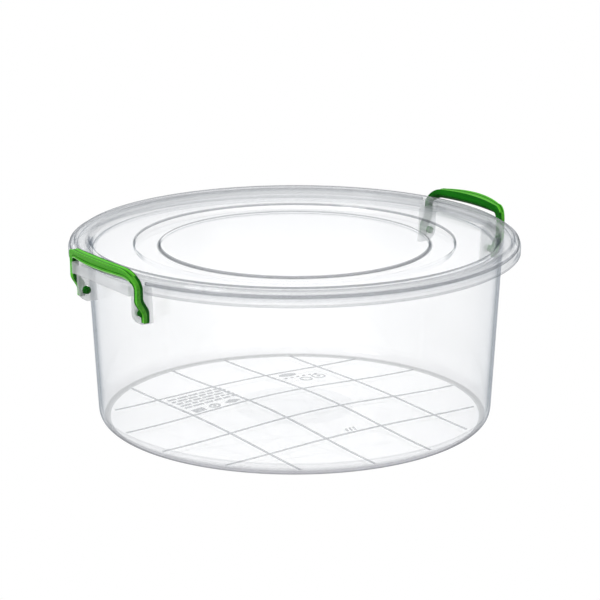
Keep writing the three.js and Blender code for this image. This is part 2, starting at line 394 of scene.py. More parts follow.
def map_range(tree, value, from_min=0.0, from_max=1.0, to_min=0.0, to_max=1.0):
    return node(tree, "MapRange", {
        "Value": value, "From Min": from_min, "From Max": from_max,
        "To Min": to_min, "To Max": to_max}).outputs["Result"]


def colour_ramp(tree, factor, stops, interpolation="LINEAR"):
    """A colour ramp whose stops are (position, (red, green, blue)), in rising order."""
    made = node(tree, "ValToRGB", {"Fac": factor})
    ramp = made.color_ramp
    ramp.interpolation = interpolation
    for element, (position, colour) in zip(ramp.elements, (stops[0], stops[-1])):
        element.position = position
        element.color = (*colour, 1)
    for position, colour in stops[1:-1]:
        ramp.elements.new(position).color = (*colour, 1)
    return made.outputs["Color"]


def noise(tree, vector, scale, detail):
    made = node(tree, "TexNoise", {"Vector": vector, "Scale": scale, "Detail": detail})
    return made.outputs["Fac"]


def bumped(tree, height, strength, distance):
    made = node(tree, "Bump", {"Height": height, "Strength": strength, "Distance": distance})
    return made.outputs["Normal"]


def object_coordinates(tree):
    return node(tree, "TexCoord").outputs["Object"]


def facing(tree):
    """0 where a surface is seen face on, 1 where it is seen edge on."""
    return node(tree, "LayerWeight", {"Blend": 0.5}).outputs["Facing"]


def grey(value):
    return (value, value, value)


def new_material(name):
    material = bpy.data.materials.new(name)
    material.use_nodes = True
    material.node_tree.nodes.clear()
    return material, material.node_tree


# ---------------------------------------------------------------- clear plastic
# how the straight-through layer darkens: (facing, share of light passed)
TUB_EDGE = [(0.40, 0.990), (0.55, 0.972), (0.64, 0.950), (0.745, 0.925),
            (0.78, 0.89), (0.82, 0.76), (0.86, 0.60), (0.92, 0.50)]
INNER_EDGE = [(0.55, 0.994), (0.745, 0.992), (0.80, 0.955), (0.86, 0.87), (0.93, 0.74)]
LID_EDGE = [(0.60, 0.998), (0.75, 0.997), (0.79, 0.90), (0.84, 0.62), (0.92, 0.42)]
EDGE_ON_COLOUR = (0.54, 0.555, 0.57)

# painted shade: rings where the moulding turns, painted darker in place of the light the turn bends
# away: (mm from the axis, share of light passed)
RING_ONE = [(91.6, 1.0), (92.0, 0.62), (93.8, 0.62), (94.2, 1.0)]
RING_ONE_EDGE = [(91.4, 1.0), (91.8, 0.62), (93.2, 0.62), (93.5, 1.0)]
RING_TWO = [(108.4, 1.0), (108.9, 0.86), (109.2, 0.80), (109.35, 0.36), (109.9, 0.36),
            (110.1, 1.0)]
LID_RIM = [(136.6, 1.0), (137.6, 0.96), (139.7, 0.95), (140.2, 0.90), (140.9, 0.90),
           (141.4, 1.0), (151.9, 1.0), (152.4, 0.56), (153.1, 0.52)]
LID_CREST = [(138.8, 1.0), (139.2, 0.38), (141.0, 0.38), (141.4, 1.0),
             (147.5, 1.0), (147.9, 0.34), (149.6, 0.34), (150.0, 1.0)]
LID_BROW = [(147.6, 1.0), (148.2, 0.80), (149.4, 0.80), (149.8, 1.0)]
TUB_LIP = [(151.6, 1.0), (152.1, 0.80), (154.0, 0.78)]
TUB_RIM = [(142.0, 1.0), (142.8, 0.92), (144.0, 1.0), (152.0, 1.0), (152.8, 0.92),
           (154.0, 0.88)]
RAMP_REACH = 160.0                          # mm from the axis where the ring ramps end

# heights of the painted ring shade, metres
RIM_FROM = 0.1171
LIMIT_BLUR = 0.0001                         # half the height over which a limit fades

# lid haze: (mm from the axis, share of haze)
LID_HAZE = [(139.6, 0.005), (141.0, 0.13), (149.4, 0.13), (150.5, 0.07)]

# painted shade at the turn from wall to floor, darker lower down: (share of the foot shade's
# height, share of light passed)
FOOT_SHADE = [(0.08, 0.36), (0.17, 0.42), (0.33, 0.54), (0.48, 0.70), (0.58, 0.87), (0.68, 0.92),
        (0.76, 0.84), (0.80, 0.84), (0.86, 1.0)]
FOOT_SHADE_COLOUR = (0.30, 0.32, 0.33)            # at the very bottom
FOOT_SHADE_HEIGHT = 0.012                         # metres


def edge_tint(tree, facing_share, edge, face):
    """Clear face on, grey-blue where the surface turns edge on."""
    stops = [(0.0, face)]
    for position, passed in edge:
        cool = (1 - passed) * 0.06
        stops.append((position, ((passed - cool) * face[0], passed * face[1],
                                 (passed + cool) * face[2])))
    stops.append((1.0, EDGE_ON_COLOUR))
    return colour_ramp(tree, facing_share, stops)


def place_sockets(tree, coords):
    """Distance from the axis in metres, the same over RAMP_REACH, height, and back faces."""
    flat = vector_maths(tree, "MULTIPLY", coords, (1, 1, 0))
    radius = node(tree, "VectorMath", {0: flat}, operation="LENGTH").outputs["Value"]
    across = map_range(tree, radius, from_max=RAMP_REACH * MM)
    height = node(tree, "SeparateXYZ", {"Vector": coords}).outputs["Z"]
    back_face = node(tree, "NewGeometry").outputs["Backfacing"]
    return radius, across, height, back_face


def tint_where(tree, tint, where, colour):
    """The tint, multiplied by the colour where where is 1."""
    blend = node(tree, "Mix", {"Factor": where, 6: (1, 1, 1, 1), 7: colour}, data_type="RGBA")
    return vector_maths(tree, "MULTIPLY", tint, blend.outputs[2])


def paint_ring_shade(tree, tint, place, table, above, below=None, faces="both"):
    """Painted shade: darkens the tint in rings, between two heights, on "front", "back" or "both"
    faces.
    """
    _, across, height, back_face = place
    stops = [(0.0, grey(1))]
    for radius, passed in table:
        lost = 1 - passed
        stops.append((radius / RAMP_REACH, (passed, passed + lost * 0.02, passed + lost * 0.05)))
    stops.append((1.0, grey(table[-1][1])))
    colour = colour_ramp(tree, across, stops)
    where = map_range(tree, height, from_min=above - LIMIT_BLUR, from_max=above + LIMIT_BLUR)
    if below:
        under = map_range(tree, height, from_min=below - LIMIT_BLUR, from_max=below + LIMIT_BLUR,
                          to_min=1.0, to_max=0.0)
        where = maths(tree, "MULTIPLY", where, under)
    if faces == "front":
        where = maths(tree, "SUBTRACT", where, back_face, clamp=True)
    elif faces == "back":
        where = maths(tree, "MULTIPLY", where, back_face)
    return tint_where(tree, tint, where, colour)


def paint_foot_shade(tree, tint, place):
    """Painted shade: the turn from wall to floor, which is thicker, is painted darker lower down.
    """
    radius, _, height, back_face = place
    stops = [(0.0, FOOT_SHADE_COLOUR)]
    stops += [(share, (passed, passed, passed + (1 - passed) * 0.05)) for share, passed in FOOT_SHADE]
    stops.append((1.0, grey(1)))
    low = map_range(tree, height, from_max=FOOT_SHADE_HEIGHT)
    painted_darker = colour_ramp(tree, low, stops)
    near_edge = map_range(tree, radius, from_min=0.1255, from_max=0.1300)
    entering = map_range(tree, back_face, to_min=1.0, to_max=0.14)
    there = maths(tree, "MULTIPLY", near_edge, entering)
    tint = tint_where(tree, tint, there, painted_darker)
    # a fine painted dark line at the sole, where it meets the floor, as painted shade
    sole_line = map_range(tree, height, from_min=0.0009, from_max=0.0014, to_min=0.62)
    lined = node(tree, "Mix", {"Factor": near_edge, 2: 1.0, 3: sole_line}, data_type="FLOAT")
    scaled = node(tree, "VectorMath", {0: tint, "Scale": lined.outputs[0]}, operation="SCALE")
    return scaled.outputs["Vector"]


def thin_skin(tree, tint, facing_share, roughness, normal):
    """Straight-through light of the given tint, under a mirror-like skin."""
    straight = shader(tree, "BsdfTransparent", {"Color": tint})
    skin = shader(tree, "BsdfGlossy", {
        "Color": (0.97, 0.98, 1.0, 1), "Roughness": roughness, "Normal": normal})
    steep = maths(tree, "POWER", facing_share, 5.0)
    mirror_share = map_range(tree, steep, to_min=0.022, to_max=0.24)
    return mix_shaders(tree, mirror_share, straight, skin)


def hazed(tree, clear, haze, place):
    """Mixes haze in: haze is one share, or a table of shares by distance from the axis."""
    colour = {"Color": (0.99, 0.995, 1.0, 1)}
    through = shader(tree, "BsdfTranslucent", colour)
    off = shader(tree, "BsdfDiffuse", colour)
    cloud = mix_shaders(tree, 0.60, through, off)
    if not isinstance(haze, float):
        stops = [(radius / RAMP_REACH, grey(share)) for radius, share in haze]
        stops = [(0.0, stops[0][1])] + stops + [(1.0, stops[-1][1])]
        haze = colour_ramp(tree, place[1], stops)
    return mix_shaders(tree, haze, clear, cloud)


def clear_plastic(name, tint, grain_scale, edge, rings=(), rough=(0.015, 0.05),
                  face=(0.998, 0.9985, 0.9995), haze=0.006, straight_share=0.84, with_foot_shade=False):
    """Clear injection-moulded plastic: a refracting body mixed with a straight-through layer.

    tint colours the body, face the layer seen face on; edge is the layer's facing table, rings
    are arguments for the painted ring shade, rough is the range of roughness. The painted foot
    shade and a haze table work only together with rings.
    """
    material, tree = new_material(name)
    coords = object_coordinates(tree)
    # fine scuffs and flow lines
    scuffs = noise(tree, coords, scale=grain_scale, detail=4)
    roughness = map_range(tree, scuffs, from_min=0.35, from_max=0.75,
                          to_min=rough[0], to_max=rough[1])
    flow = noise(tree, coords, scale=26, detail=2)
    normal = bumped(tree, flow, strength=0.015, distance=0.0004)
    body = shader(tree, "BsdfPrincipled", {
        "Base Color": (*tint, 1), "IOR": 1.49, "Transmission Weight": 1.0,
        "Roughness": roughness, "Normal": normal})

    facing_share = facing(tree)
    passed = edge_tint(tree, facing_share, edge, face)
    place = place_sockets(tree, coords) if rings else None
    for ring in rings:
        passed = paint_ring_shade(tree, passed, place, **ring)
    if with_foot_shade:
        passed = paint_foot_shade(tree, passed, place)
    layer = thin_skin(tree, passed, facing_share, roughness, normal)
    layer = hazed(tree, layer, haze, place)
    plastic = mix_shaders(tree, straight_share, body, layer)

    # shadow and diffuse rays pass almost freely
    path = node(tree, "LightPath").outputs
    freely = maths(tree, "MAXIMUM", path["Is Shadow Ray"], path["Is Diffuse Ray"])
    pass_through = shader(tree, "BsdfTransparent", {"Color": (0.985, 0.988, 0.99, 1)})
    node(tree, "OutputMaterial", {"Surface": mix_shaders(tree, freely, plastic, pass_through)})
    return material


# ---------------------------------------------------------------- green plastic
def green_plastic(name, dark, light, gloss_share):
    """Glossy green plastic, slightly translucent, with streaks along Y and fine grain."""
    material, tree = new_material(name)
    coords = object_coordinates(tree)
    stretched = node(tree, "Mapping", {"Vector": coords, "Scale": (260, 22, 260)})
    streaks = noise(tree, stretched.outputs["Vector"], scale=1.0, detail=3)
    colour = colour_ramp(tree, streaks, [(0.32, dark), (0.72, light)])
    grain = noise(tree, coords, scale=900, detail=3)
    roughness = map_range(tree, grain, to_min=0.20, to_max=0.34)
    normal = bumped(tree, grain, strength=0.12, distance=0.0001)
    body = shader(tree, "BsdfPrincipled", {
        "Base Color": colour, "Roughness": roughness, "Normal": normal,
        "IOR": 1.49, "Specular IOR Level": 0.0,
        "Subsurface Weight": 0.10, "Subsurface Radius": (0.0006, 0.003, 0.0004),
        "Subsurface Scale": 1.0})
    gloss = shader(tree, "BsdfGlossy", {
        "Color": (0.93, 1.0, 0.90, 1), "Roughness": roughness, "Normal": normal})
    steep = maths(tree, "POWER", facing(tree), 4.0)
    amount = map_range(tree, steep, to_min=gloss_share, to_max=gloss_share * 3)
    node(tree, "OutputMaterial", {"Surface": mix_shaders(tree, amount, body, gloss)})
    return material


# ---------------------------------------------------------------- materials
# the tub's clear plastic, with painted shade in rings at the rim and the lip, and at the foot
tub_mat = clear_plastic(
    "tub_clear_plastic", tint=(0.985, 0.99, 0.995), grain_scale=420, edge=TUB_EDGE,
    rings=[dict(table=TUB_RIM, above=RIM_FROM),
           dict(table=TUB_LIP, above=RIM_FROM, below=0.1196, faces="front")],
    with_foot_shade=True, straight_share=0.95)
inner_mat = clear_plastic(
    "tub_clear_inner", tint=(0.985, 0.99, 0.995), grain_scale=420, edge=INNER_EDGE,
    straight_share=0.95)
# ribs and marks: frosted, and painted grey as painted shade for the dark lines their edges show
frosted_shade_mat = clear_plastic(
    "tub_frosted_painted_shade_plastic", tint=(0.80, 0.81, 0.825), grain_scale=700, edge=INNER_EDGE,
    rough=(0.22, 0.42), face=(0.52, 0.53, 0.54), haze=0.03)
milky_mat = clear_plastic(
    "tub_milky_plastic", tint=(0.93, 0.935, 0.945), grain_scale=520, edge=TUB_EDGE,
    rough=(0.06, 0.14), face=(0.985, 0.99, 0.993), haze=0.40, straight_share=0.98)
# the lid's clear plastic, with painted shade in rings at the grooves, the rim, the crest and the
# brow
lid_mat = clear_plastic(
    "lid_clear_plastic", tint=(0.99, 0.992, 0.995), grain_scale=380, edge=LID_EDGE,
    rings=[dict(table=RING_ONE, above=0.1197, faces="front"),
           dict(table=RING_ONE_EDGE, above=0.1197),
           dict(table=RING_TWO, above=0.1218, faces="front"),
           dict(table=LID_RIM, above=RIM_FROM),
           dict(table=LID_CREST, above=0.1258, faces="back"),
           dict(table=LID_BROW, above=0.1262, faces="front")],
    haze=LID_HAZE, straight_share=0.965)
green_mat = green_plastic("latch_green_plastic", dark=(0.050, 0.33, 0.010),
                          light=(0.084, 0.43, 0.020), gloss_share=0.030)
# dark green copy: painted shade for creases, the underside, the inner face, the pins and the end
# faces
shade_green_mat = green_plastic("latch_green_painted_shade", dark=(0.0015, 0.085, 0.001),
                         light=(0.004, 0.135, 0.002), gloss_share=0.014)
# light green copy: painted highlight along the lit edges and the arms' fronts
highlight_green_mat = green_plastic("latch_green_painted_highlight", dark=(0.080, 0.50, 0.018),
                           light=(0.125, 0.62, 0.034), gloss_share=0.030)
# pale green copy: painted light on the bar's lower lip, as if lit from below
pale_light_green_mat = green_plastic("latch_green_painted_pale_light", dark=(0.26, 0.62, 0.18),
                         light=(0.42, 0.76, 0.32), gloss_share=0.045)

# in the order of the slot numbers
TUB_MATERIALS = (tub_mat, frosted_shade_mat, milky_mat, inner_mat)
LATCH_MATERIALS = (green_mat, shade_green_mat, pale_light_green_mat, highlight_green_mat)


# ---------------------------------------------------------------- tub
def tub_profile():
    """(radius, z) from the axis out along the underside, up the wall, and back inside."""
    underside_end = 116
    profile = [(r, floor_under(r)) for r in np.linspace(0, underside_end, 26)]
    profile += fillet([(underside_end, floor_under(underside_end)), (FOOT_R_IN, 0.02),
                       (FOOT_R_IN + 2.0, 0.0)], [0, 0.6, 0], 2)[1:]
    profile += smooth_curve([(FOOT_R_OUT, 0.0), (131.6, 0.8), (134.3, 2.9), (135.7, 5.8),
                             (wall_out(9.5), 9.5)], 5)
    profile += [(wall_out(z), z) for z in np.linspace(16, 112, 13)]
    lip_in = FLANGE_R - LIP_T
    # radius, z, corner radius
    flange = [
        (wall_out(112), 112, 0),
        (wall_out(FLANGE_UNDER - 0.8), FLANGE_UNDER - 0.8, 0.9),
        (143.2, FLANGE_UNDER, 0.5),
        (lip_in, FLANGE_UNDER, 0.7),
        (lip_in, LIP_BOTTOM, 0.45),
        (FLANGE_R, LIP_BOTTOM, 0.55),
        (FLANGE_R, FLANGE_TOP, 0.6),
        (wall_in(FLANGE_TOP) + 0.9, FLANGE_TOP, 0.55),
        (wall_in(FLANGE_TOP - 1.1), FLANGE_TOP - 1.3, 0.6),
        (wall_in(112), 112, 0),
    ]
    profile += fillet([p[:2] for p in flange], [p[2] for p in flange], 4)[1:-1]
    profile += [(wall_in(z), z) for z in np.linspace(112, 16, 13)]
    profile += smooth_curve([(wall_in(9.5), 9.5), (133.8, 6.2), (132.2, 3.6), (129.8, 2.1),
                             (FLOOR_EDGE_R, FLOOR_EDGE_Z)], 5)
    profile += [(r, floor_top(r)) for r in np.linspace(FLOOR_EDGE_R - 3, 0, 30)]
    return profile


def housing(name):
    """The fixed half of a latch hinge on +X: two ears joined by a shelf with a short skirt."""
    # x, z: the ear's rounded lower edge
    lower = [(142.6, EAR_BOTTOM), (145.6, EAR_BOTTOM + 0.8), (148.2, EAR_BOTTOM + 2.8),
             (149.9, EAR_BOTTOM + 5.4), (EAR_OUT, EAR_BOTTOM + 8.4)]
    ear = [(135.5, EAR_BOTTOM)] + smooth_curve(lower, 4) + [
        (EAR_OUT, SKIRT_BOTTOM), (SKIRT_OUT, SKIRT_BOTTOM), (SKIRT_OUT, FLANGE_TOP - 0.45),
        (SKIRT_OUT - 0.13, FLANGE_TOP - 0.13), (SKIRT_OUT - 0.45, FLANGE_TOP),
        (141.2, FLANGE_TOP), (136.9, FLANGE_TOP - 2.4)]
    made = plate(name, ear, HOUSING_HALF - EAR_T, HOUSING_HALF, "y")
    second = plate(name + "_b", ear, -HOUSING_HALF, -HOUSING_HALF + EAR_T, "y")
    skirt_in, shelf_in = SKIRT_OUT - SKIRT_T, 146.0
    section = fillet([
        (shelf_in, FLANGE_UNDER), (skirt_in, FLANGE_UNDER), (skirt_in, SKIRT_BOTTOM),
        (SKIRT_OUT, SKIRT_BOTTOM), (SKIRT_OUT, FLANGE_TOP), (shelf_in, FLANGE_TOP)],
        [0, 0.6, 0.4, 0.5, 0.45, 0], 4, True)
    shelf = plate(name + "_c", section, -HOUSING_HALF, HOUSING_HALF, "y")
    boolean(made, [second, shelf], "UNION")
    # pivot holes, flared at both mouths
    holes = []
    half, flared = EAR_T / 2, PIVOT_HOLE + 1.4
    for side in (-1, 1):
        middle = side * (HOUSING_HALF - half)
        holes.append(turned_pivot(name + "_h", [
            (0, middle - half - 1), (flared, middle - half - 1),
            (PIVOT_HOLE, middle - half + 0.4), (PIVOT_HOLE, middle + half - 0.4),
            (flared, middle + half + 1), (0, middle + half + 1)], 48))
    boolean(made, holes, "DIFFERENCE")
    tidy(made)
    bevel(made, width=0.28, segments=2, angle=50)
    return made


def notch_boxes(name, nearest, z0, z1, inner):
    """Four cutters beside the latches, from nearest outwards in X, from inner out in Y."""
    made = []
    for side_x in (1, -1):
        for side_y in (1, -1):
            x0, x1 = sorted((side_x * nearest, side_x * 160.0))
            y0, y1 = sorted((side_y * inner, side_y * NOTCH_HALF))
            made.append(plate(f"{name}{side_x}{side_y}", rectangle(x0, y0, x1, y1), z0, z1, "z"))
    return made


def on_floor(x, y, height):
    """A point that far above the floor's domed top."""
    return (x, y, floor_top(math.hypot(x, y)) + height)


def dome_strip(name, start, end, steps=72):
    """A rounded rib on the floor from start to end, that follows the dome."""
    start, end = np.array(start, float), np.array(end, float)
    along = (end - start) / np.linalg.norm(end - start)
    side = np.array([-along[1], along[0]])
    # (sideways, height)
    section = [(-RIB_HALF, SUNK)]
    section += [(RIB_HALF * math.sin(t), RIB_HEIGHT * math.cos(t) - 0.02)
                for t in np.linspace(-math.pi / 2, math.pi / 2, 9)]
    section.append((RIB_HALF, SUNK))
    verts = []
    for i in range(steps + 1):
        centre = start + (end - start) * i / steps
        verts += [on_floor(*(centre + side * sideways), height) for sideways, height in section]
    size = len(section)
    return mesh_object(name, verts, side_faces(steps + 1, size) + cap_faces(steps + 1, size))


def dome_plate(name, outline):
    """A small raised plate on the floor with the given outline, X and Y."""
    points = np.array(outline, float)
    centre = np.mean(points, axis=0)
    verts = []
    for share, height in ((1.0, SUNK), (1.0, MARK_HEIGHT * 0.6), (0.9, MARK_HEIGHT)):
        verts += [on_floor(*(centre + (point - centre) * share), height) for point in points]
    size = len(outline)
    return mesh_object(name, verts, cap_faces(3, size) + side_faces(3, size))


def dome_ring(name, x, y, inner, outer, steps=28):
    """A small raised ring on the floor."""
    shoulder = MARK_HEIGHT * 0.6
    # (radius, height)
    section = [(inner, SUNK), (outer, SUNK), (outer, shoulder), (outer - 0.12, MARK_HEIGHT),
               (inner + 0.12, MARK_HEIGHT), (inner, shoulder)]
    verts = []
    for k in range(steps):
        angle = 2 * math.pi * k / steps
        verts += [on_floor(x + radius * math.cos(angle), y + radius * math.sin(angle), height)
                  for radius, height in section]
    return mesh_object(name, verts, side_faces(steps, len(section), closed=True))


def floor_ribs():
    """The grid of squares moulded into the floor."""
    lines = []
    for i in range(GRID_LINES):
        offset = (i - (GRID_LINES - 1) / 2) * GRID_PITCH
        lines.append((offset, math.sqrt(GRID_REACH ** 2 - offset ** 2)))
    made = [dome_strip("rib", (-reach, v), (reach, v)) for v, reach in lines]
    made += [dome_strip("rib", (v, -reach), (v, reach)) for v, reach in lines]
    return made


def floor_marks():
    """Small plain raised marks: rows of bars, rings, dots, a square, a diamond, a disc, dashes."""
    made = []
    # a block of short bars, five rows
    row_start, row_limit, row_end, gap, bar_half = -65.0, -23.0, -20.5, 1.5, 1.15
    random = np.random.default_rng(7)
    for row in range(5):
        y = 62.5 - row * 5.6
        x = row_start
        while x < row_limit:
            width = min(float(random.uniform(3.0, 8.5)), row_end - x)
            if width > 1.5:
                made.append(dome_plate("bar", rectangle(x, y - bar_half, x + width, y + bar_half)))
            x += width + gap
    # three small plain shapes beside it, nearer the X axis
    made.append(dome_plate("square", rectangle(-64.5, 26.5, -55.5, 33.5)))
    made.append(dome_ring("ring", -47.0, 30.0, inner=2.6, outer=4.3))
    made.append(dome_plate("dot", oval(-47.0, 30.0, 1.2, 12)))
    made.append(dome_plate("diamond", oval(-32.5, 30.0, 5.2, 4, wide=1.25, deep=0.8)))
    # the second group: a disc, two rings and a row of dots
    made.append(dome_plate("disc", oval(36.5, 61.0, 6.2, 24, wide=1.15, deep=0.62)))
    made.append(dome_ring("ring", 41.5, 44.5, inner=3.6, outer=4.7))
    made.append(dome_ring("ring", 54.0, 46.5, inner=4.2, outer=5.3))
    made.append(dome_plate("dot", oval(54.0, 46.5, 1.5, 12)))
    for k in range(6):
        made.append(dome_plate("dot", oval(30.0 + 5.2 * k, 53.2, 1.15, 12)))
    # three short slanted dashes
    for k in range(3):
        shift = 3.2 * k
        made.append(dome_plate("dash", [(-3.6 + shift, -66.4), (-2.1 + shift, -66.4),
                                        (-0.9 + shift, -61.6), (-2.4 + shift, -61.6)]))
    return made


def finish_inside(tub):
    """Gives the clear faces of the floor, and those turned inwards or up, the inner finish."""
    for polygon in tub.data.polygons:
        if polygon.material_index != CLEAR:
            continue
        centre, normal = polygon.center, polygon.normal
        distance = math.hypot(centre.x, centre.y)
        on_base = centre.z < 0.004 and distance < FLOOR_EDGE_R * MM
        outwards = centre.x * normal.x + centre.y * normal.y
        turned_in = (distance < 0.1425 and outwards < 0.25 * normal.z * distance + 1e-9
                     and normal.z > -0.2)
        if on_base or turned_in:
            polygon.material_index = INSIDE


def build_tub():
    tub = turned_z("tub_shell", tub_profile())
    boolean(tub, notch_boxes("n", FLANGE_NOTCH, SKIRT_BOTTOM - 2, FLANGE_TOP + 2, HOUSING_HALF),
            "DIFFERENCE")
    right = housing("housing")
    left = mirrored(right, "housing_l")
    raised = floor_ribs() + floor_marks()
    paint(tub, TUB_MATERIALS, CLEAR)
    for piece in (right, left):
        paint(piece, TUB_MATERIALS, MILKY)
    # ribs and marks: frosted and painted grey, as painted shade
    for piece in raised:
        paint(piece, TUB_MATERIALS, FROSTED_SHADED)
    boolean(tub, [right, left], "UNION")
    boolean(tub, raised, "UNION")
    tidy(tub)
    finish_inside(tub)
    return tub


# ---------------------------------------------------------------- lid
def lid_profile():
    under_lid, under_groove = LID_TOP - LID_T, GROOVE_TOP - LID_T
    under_centre = CENTRE_TOP - LID_T
    plug_in = PLUG_R - PLUG_T
    # radius, z, corner radius
    points = [
        # underside, axis outwards
        (0, under_centre, 0),
        (GROOVE_R_IN - 0.4, under_centre, 0.7),
        (GROOVE_R_IN + 0.8, under_groove, 0.7),
        (GROOVE_R_OUT - 0.8, under_groove, 0.7),
        (GROOVE_R_OUT + 0.4, under_lid, 0.7),
        (134.6, under_lid, 1.2),
        # plug, which goes down inside the tub's wall
        (plug_in, under_lid - 0.9, 0.9),
        (plug_in, PLUG_BOTTOM, 0.5),
        (PLUG_R, PLUG_BOTTOM, 0.55),
        (PLUG_R, BRIM_BOTTOM - 0.5, 0.6),
        # hollow under the crest
        (140.9, 124.6, 0.9),
        (142.6, CREST_TOP - 1.8, 0.9),
        (147.1, CREST_TOP - 1.7, 0.9),
        (148.0, 124.2, 0.7),
        (148.5, BRIM_BOTTOM, 0.35),
        # brim, crest and the well's wall
        (BRIM_R, BRIM_BOTTOM, 0.4),
        (BRIM_R, 125.35, 0.5),
        (150.2, 125.75, 0.8),
        (149.0, CREST_TOP, 1.0),
        (140.9, CREST_TOP, 1.0),
        (137.1, LID_TOP, 1.8),
        # shallow ring groove and the centre
        (GROOVE_R_OUT + 0.1, LID_TOP, 0.35),
        (GROOVE_R_OUT - 1.0, GROOVE_TOP, 0.45),
        (GROOVE_R_IN + 1.0, GROOVE_TOP, 0.45),
        (GROOVE_R_IN - 0.1, CENTRE_TOP, 0.35),
        (0, CENTRE_TOP, 0),
    ]
    return fillet([p[:2] for p in points], [p[2] for p in points], 5)


def build_lid():
    lid = turned_z("lid_shell", split_long_runs(lid_profile()))
    boolean(lid, notch_boxes("m", LID_NOTCH, BRIM_BOTTOM - 1, BRIM_BOTTOM + 2.7,
                             HOUSING_HALF + 0.1), "DIFFERENCE")
    tidy(lid)
    lid.data.materials.clear()
    lid.data.materials.append(lid_mat)
    return lid


# ---------------------------------------------------------------- latches
# A latch's section has eight corners, in this order: nose, inner top, two on the dished top,
# outer top, crease, lip, underside. Their rounding:
CORNER_ROUND = [1.4, 1.9, 1.3, 0.6, 0.7, 0.35, 0.45, 0.35]
CORNER_STEPS = 4                            # so each corner has five points round the section

# (distance inwards, drop) of the shrinking rings that round an arm's end off
CAP_RINGS = ((0.06, 0.35), (0.2, 0.68), (0.42, 0.85), (0.75, CAP_DROP))

# columns of faces round the section, five to a corner, that are not plain green: painted shade in
# creases, the underside and the inner face, painted light on the lip, painted highlights on edges
BAR_COLUMNS = {
    PAINTED_SHADE: {*range(0, 9), *range(15, 18), *range(25, 28), *range(34, 40)},
    PAINTED_PALE_LIGHT: {*range(30, 34)},
    PAINTED_HIGHLIGHT: {10, 11, *range(20, 25)},
}
ARM_COLUMNS = {
    PAINTED_SHADE: {*range(0, 13), *range(28, 31), *range(34, 40)},
    PAINTED_HIGHLIGHT: {*range(22, 27)},
}


def arm_section(z):
    """Corners (x, y, z) of the +Y arm at height z."""
    x_in = 142.5 + (146.9 - 142.5) * smoothstep((z - 104.2) / (114.8 - 104.2))
    x_out = 147.1 + (152.1 - 147.1) * smoothstep((z - 101.6) / (112.8 - 101.6))
    depth = x_out - x_in
    dished = ARM_OUT - 0.12
    return [(x_in, ARM_IN, z), (x_in, ARM_OUT, z),
            (x_in + depth * 0.35, dished, z), (x_in + depth * 0.7, dished, z),
            (x_out - 0.05, ARM_OUT, z), (x_out - 0.75, ARM_IN + 1.55, z),
            (x_out - 0.1, ARM_IN + 0.75, z), (x_out - 0.8, ARM_IN, z)]


def bar_section(y):
    """Corners (x, y, z) of the bar, which bulges out and up towards its middle."""
    bulge = max(0.0, 1 - (y / BAR_HALF) ** 2)
    nose = (147.9 + 3.2 * bulge, 129.0 + 0.8 * bulge)
    inner = (148.9 + 4.6 * bulge, 131.9 + 2.2 * bulge)
    outer = (152.8 + 9.1 * bulge, 131.5 + 3.4 * bulge)
    dish = 0.25 + 0.45 * bulge
    dish_inner = (inner[0] * 0.62 + outer[0] * 0.38, inner[1] * 0.62 + outer[1] * 0.38 - dish)
    dish_outer = (inner[0] * 0.28 + outer[0] * 0.72,
                  inner[1] * 0.28 + outer[1] * 0.72 - dish * 0.8)
    crease = (151.5 + 6.9 * bulge, 128.0 + 1.2 * bulge)
    lip = (152.2 + 7.1 * bulge, 126.8 + 0.8 * bulge)
    under = (151.2 + 6.4 * bulge, 126.0 + 0.3 * bulge)
    corners = (nose, inner, dish_inner, dish_outer, outer, crease, lip, under)
    return [(x, y, z) for x, z in corners]


def corner_sections(steps=14):
    """Sections between arm and bar: each corner line turns on its own quarter ellipse."""
    arm_end, bar_end = arm_section(ARM_STRAIGHT_TOP), bar_section(BAR_STRAIGHT_HALF)
    sections = []
    for i in range(1, steps):
        u = i / steps
        angle = u * math.pi / 2
        section = []
        for a, b in zip(arm_end, bar_end):
            # the ellipse's centre is at the bar end's y and the arm end's z
            section.append((a[0] + (b[0] - a[0]) * smoothstep(u),
                            b[1] + (a[1] - b[1]) * math.cos(angle),
                            a[2] + (b[2] - a[2]) * math.sin(angle)))
        sections.append(section)
    return sections


def rounded_section(section):
    """The section with a quadratic curve at each corner."""
    corners = [np.array(point) for point in section]
    points = []
    for i, corner in enumerate(corners):
        back = corners[i - 1] - corner
        ahead = corners[(i + 1) % len(corners)] - corner
        back_length, ahead_length = np.linalg.norm(back), np.linalg.norm(ahead)
        cut = min(CORNER_ROUND[i], back_length * 0.45, ahead_length * 0.45)
        start, end = corner + back / back_length * cut, corner + ahead / ahead_length * cut
        for k in range(CORNER_STEPS + 1):
            v = k / CORNER_STEPS
            points.append((1 - v) ** 2 * start + 2 * v * (1 - v) * corner + v * v * end)
    return points


def end_cap(ring):
    """Shrinking rings that round the arm's end off, from the ring downwards."""
    centre = sum(ring) / len(ring)
    rings = []
    for inset, drop in CAP_RINGS:
        shrunk = []
        for point in ring:
            offset = point - centre
            length = math.hypot(offset[0], offset[1])
            share = (length - inset) / length
            shrunk.append(np.array((centre[0] + offset[0] * share, centre[1] + offset[1] * share,
                                    point[2] - drop)))
        rings.append(shrunk)
    return rings


# which slot a column of faces takes: plain green, or painted shade, painted light or painted
# highlight
def column_slot(column, painted_columns):
    for slot, columns in painted_columns.items():
        if column in columns:
            return slot
    return GREEN


